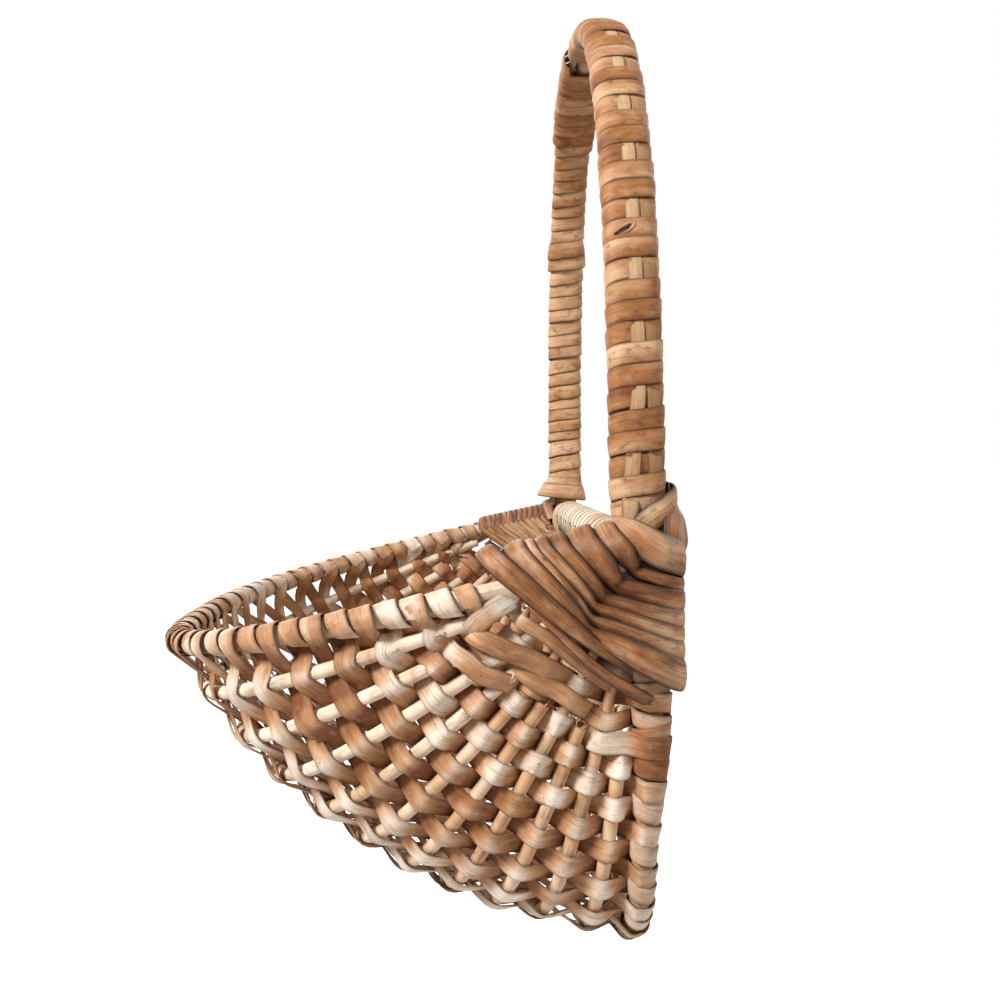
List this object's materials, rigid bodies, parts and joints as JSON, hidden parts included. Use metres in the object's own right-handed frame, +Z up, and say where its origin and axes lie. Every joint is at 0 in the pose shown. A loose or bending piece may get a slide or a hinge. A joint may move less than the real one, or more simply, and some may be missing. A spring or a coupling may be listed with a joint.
{
  "type": "wall basket",
  "caption": "Half-round rib basket for a wall: a bent hoop makes handle, posts and flat back, a rim bow leans out in front, and flat skeins are woven over fanned ribs.",
  "frame": {"origin": "under the middle of the handle, where the hook bears", "axes": "+Z up, +Y towards the wall, +X along the wall towards the end that is near in the picture; the basket bulges towards -Y"},
  "size_m": [0.2908, 0.2042, 0.3905],
  "materials": {
    "bent_rod": "peeled willow rod, satin",
    "rib_rod": "peeled round rod, satin",
    "willow_skein": "split flat skein, dry and slightly fibrous",
    "pale_splint": "pale shaved splint, satin",
    "handle_cane": "flat cane, smooth side out",
    "corner_cane": "flat cane, smooth side out"
  },
  "bodies": {
    "root": {"hoop_rod": "bent_rod", "rim_bow": "bent_rod", "back_bar": "bent_rod", "rib_01": "rib_rod", "rib_02": "rib_rod", "rib_03": "rib_rod", "rib_04": "rib_rod", "rib_05": "rib_rod", "rib_06": "rib_rod", "rib_07": "rib_rod", "rib_08": "rib_rod", "rib_09": "rib_rod", "rib_10": "rib_rod", "back_rib_1": "rib_rod", "back_rib_2": "rib_rod", "back_rib_3": "rib_rod", "back_rib_4": "rib_rod", "weaver_01": "willow_skein", "weaver_02": "willow_skein", "weaver_03": "willow_skein", "weaver_04": "willow_skein", "weaver_05": "willow_skein", "weaver_06": "willow_skein", "weaver_07": "willow_skein", "weaver_08": "willow_skein", "weaver_09": "willow_skein", "weaver_10": "willow_skein", "weaver_11": "willow_skein", "weaver_12": "willow_skein", "back_weaver_1": "willow_skein", "back_weaver_2": "willow_skein", "back_weaver_3": "willow_skein", "handle_side_rod_front": "rib_rod", "handle_side_rod_wall": "rib_rod", "handle_splint_1": "pale_splint", "handle_splint_2": "pale_splint", "handle_wrap_near_leg": "handle_cane", "handle_wrap_arch": "handle_cane", "handle_wrap_far_shoulder": "handle_cane", "handle_wrap_far_leg": "handle_cane", "corner_lashing_near": "corner_cane", "corner_lashing_far": "corner_cane"}
  },
  "joints": []
}
